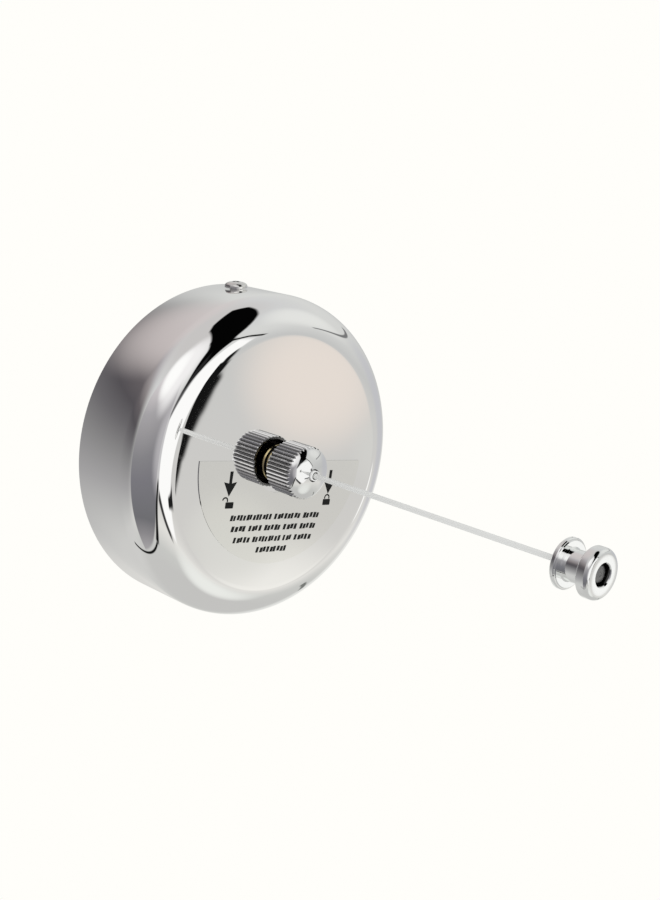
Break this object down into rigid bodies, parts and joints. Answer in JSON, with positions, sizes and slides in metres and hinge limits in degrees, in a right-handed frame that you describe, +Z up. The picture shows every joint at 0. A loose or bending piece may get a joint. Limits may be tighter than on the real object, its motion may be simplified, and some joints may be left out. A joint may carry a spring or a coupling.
{
  "type": "retractable clothesline",
  "caption": "Round wall-mounted retractable clothesline: mirror steel cover over a sprung line reel, knurled lock knob, taut coated line and a spool-shaped end knob.",
  "frame": {"origin": "centre of the wall plate's rear face, where the housing's axis meets the wall", "axes": "+Y into the wall along the housing's axis, so the line runs out along -Y; +Z up; +X to the right as seen from the room"},
  "size_m": [0.075, 0.1135, 0.0778],
  "materials": {
    "cover": "mirror polished stainless steel, deep drawn",
    "zinc_steel": "zinc plated, satin",
    "screw_steel": "polished stainless",
    "label_film": "thin grey film, printed in dark grey",
    "cassette_plastic": "moulded, fine matt",
    "washer_plastic": "moulded, matt",
    "drum_plastic": "natural moulded acetal",
    "bush_plastic": "natural moulded acetal",
    "eyelet_plastic": "translucent moulded nylon",
    "spring_steel": "blued spring strip",
    "stem_brass": "turned, threaded",
    "nut_brass": "turned, bright",
    "knob_chrome": "chrome plated, knurled with a polished dome",
    "line_coating": "translucent coating over a fine braid",
    "end_knob_chrome": "chrome plated, turned",
    "ferrule_steel": "crimped, dull"
  },
  "bodies": {
    "housing": {"cover": "cover", "wall_plate": "zinc_steel", "cover_screw_top": "screw_steel", "cover_screw_bottom": "screw_steel", "label": "label_film", "cassette_front": "cassette_plastic", "cassette_back": "cassette_plastic", "cassette_screw_1": "zinc_steel", "cassette_screw_2": "zinc_steel", "cassette_screw_3": "zinc_steel", "cassette_screw_4": "zinc_steel", "arbor": "zinc_steel", "drum_clip": "spring_steel", "corner_roller_pin": "zinc_steel", "centre_pulley_pin": "zinc_steel", "stem": "stem_brass", "face_washer": "washer_plastic", "ring_nut": "nut_brass", "line_lead": "line_coating"},
    "drum": {"drum": "drum_plastic", "spring_cover": "zinc_steel", "drum_washer": "drum_plastic", "line_winding": "line_coating", "mainspring": "spring_steel"},
    "corner_roller": {"corner_roller": "drum_plastic"},
    "centre_pulley": {"centre_pulley": "drum_plastic"},
    "lock_clamp": {"clamp_bush": "bush_plastic", "line_eyelet": "eyelet_plastic"},
    "lock_knob": {"lock_knob": "knob_chrome"},
    "line_end": {"line_free": "line_coating", "end_ferrule": "ferrule_steel"},
    "end_knob": {"end_knob": "end_knob_chrome"}
  },
  "joints": [
    {"name": "line_pull", "type": "slide", "parent": "housing", "child": "line_end", "axis": [0, -1, 0], "range_m": [-0.067, 2.55], "deforming": ["line_free"]},
    {"name": "end_knob_swivel", "type": "hinge", "parent": "line_end", "child": "end_knob", "pos_m": [0, -0.109, 0], "axis": [0, -1, 0], "continuous": true},
    {"name": "drum_spin", "type": "hinge", "parent": "housing", "child": "drum", "pos_m": [0, -0.008, 0], "axis": [0, -1, 0], "range_deg": [-170, 6200], "deforming": ["mainspring"]},
    {"name": "corner_roller_spin", "type": "hinge", "parent": "housing", "child": "corner_roller", "pos_m": [0.0302, -0.0109, -0.0024], "axis": [0, -1, 0], "range_deg": [-1800, 67000]},
    {"name": "centre_pulley_spin", "type": "hinge", "parent": "housing", "child": "centre_pulley", "pos_m": [0.0028, -0.0165, 0], "axis": [0, 0, 1], "range_deg": [-1800, 57000]},
    {"name": "lock_travel", "type": "slide", "parent": "housing", "child": "lock_clamp", "axis": [0, -1, 0], "range_m": [-0.00019, 0.00094]},
    {"name": "lock_turn", "type": "hinge", "parent": "lock_clamp", "child": "lock_knob", "pos_m": [0, -0.03, 0], "axis": [0, -1, 0], "range_deg": [-90, 450]}
  ],
  "couplings": [
    {"joint": "drum_spin", "follows": "line_pull", "rad_per_m": 42.19},
    {"joint": "corner_roller_spin", "follows": "line_pull", "rad_per_m": 454.5},
    {"joint": "centre_pulley_spin", "follows": "line_pull", "rad_per_m": 384.6},
    {"joint": "lock_turn", "follows": "lock_travel", "rad_per_m": 8377.6}
  ]
}
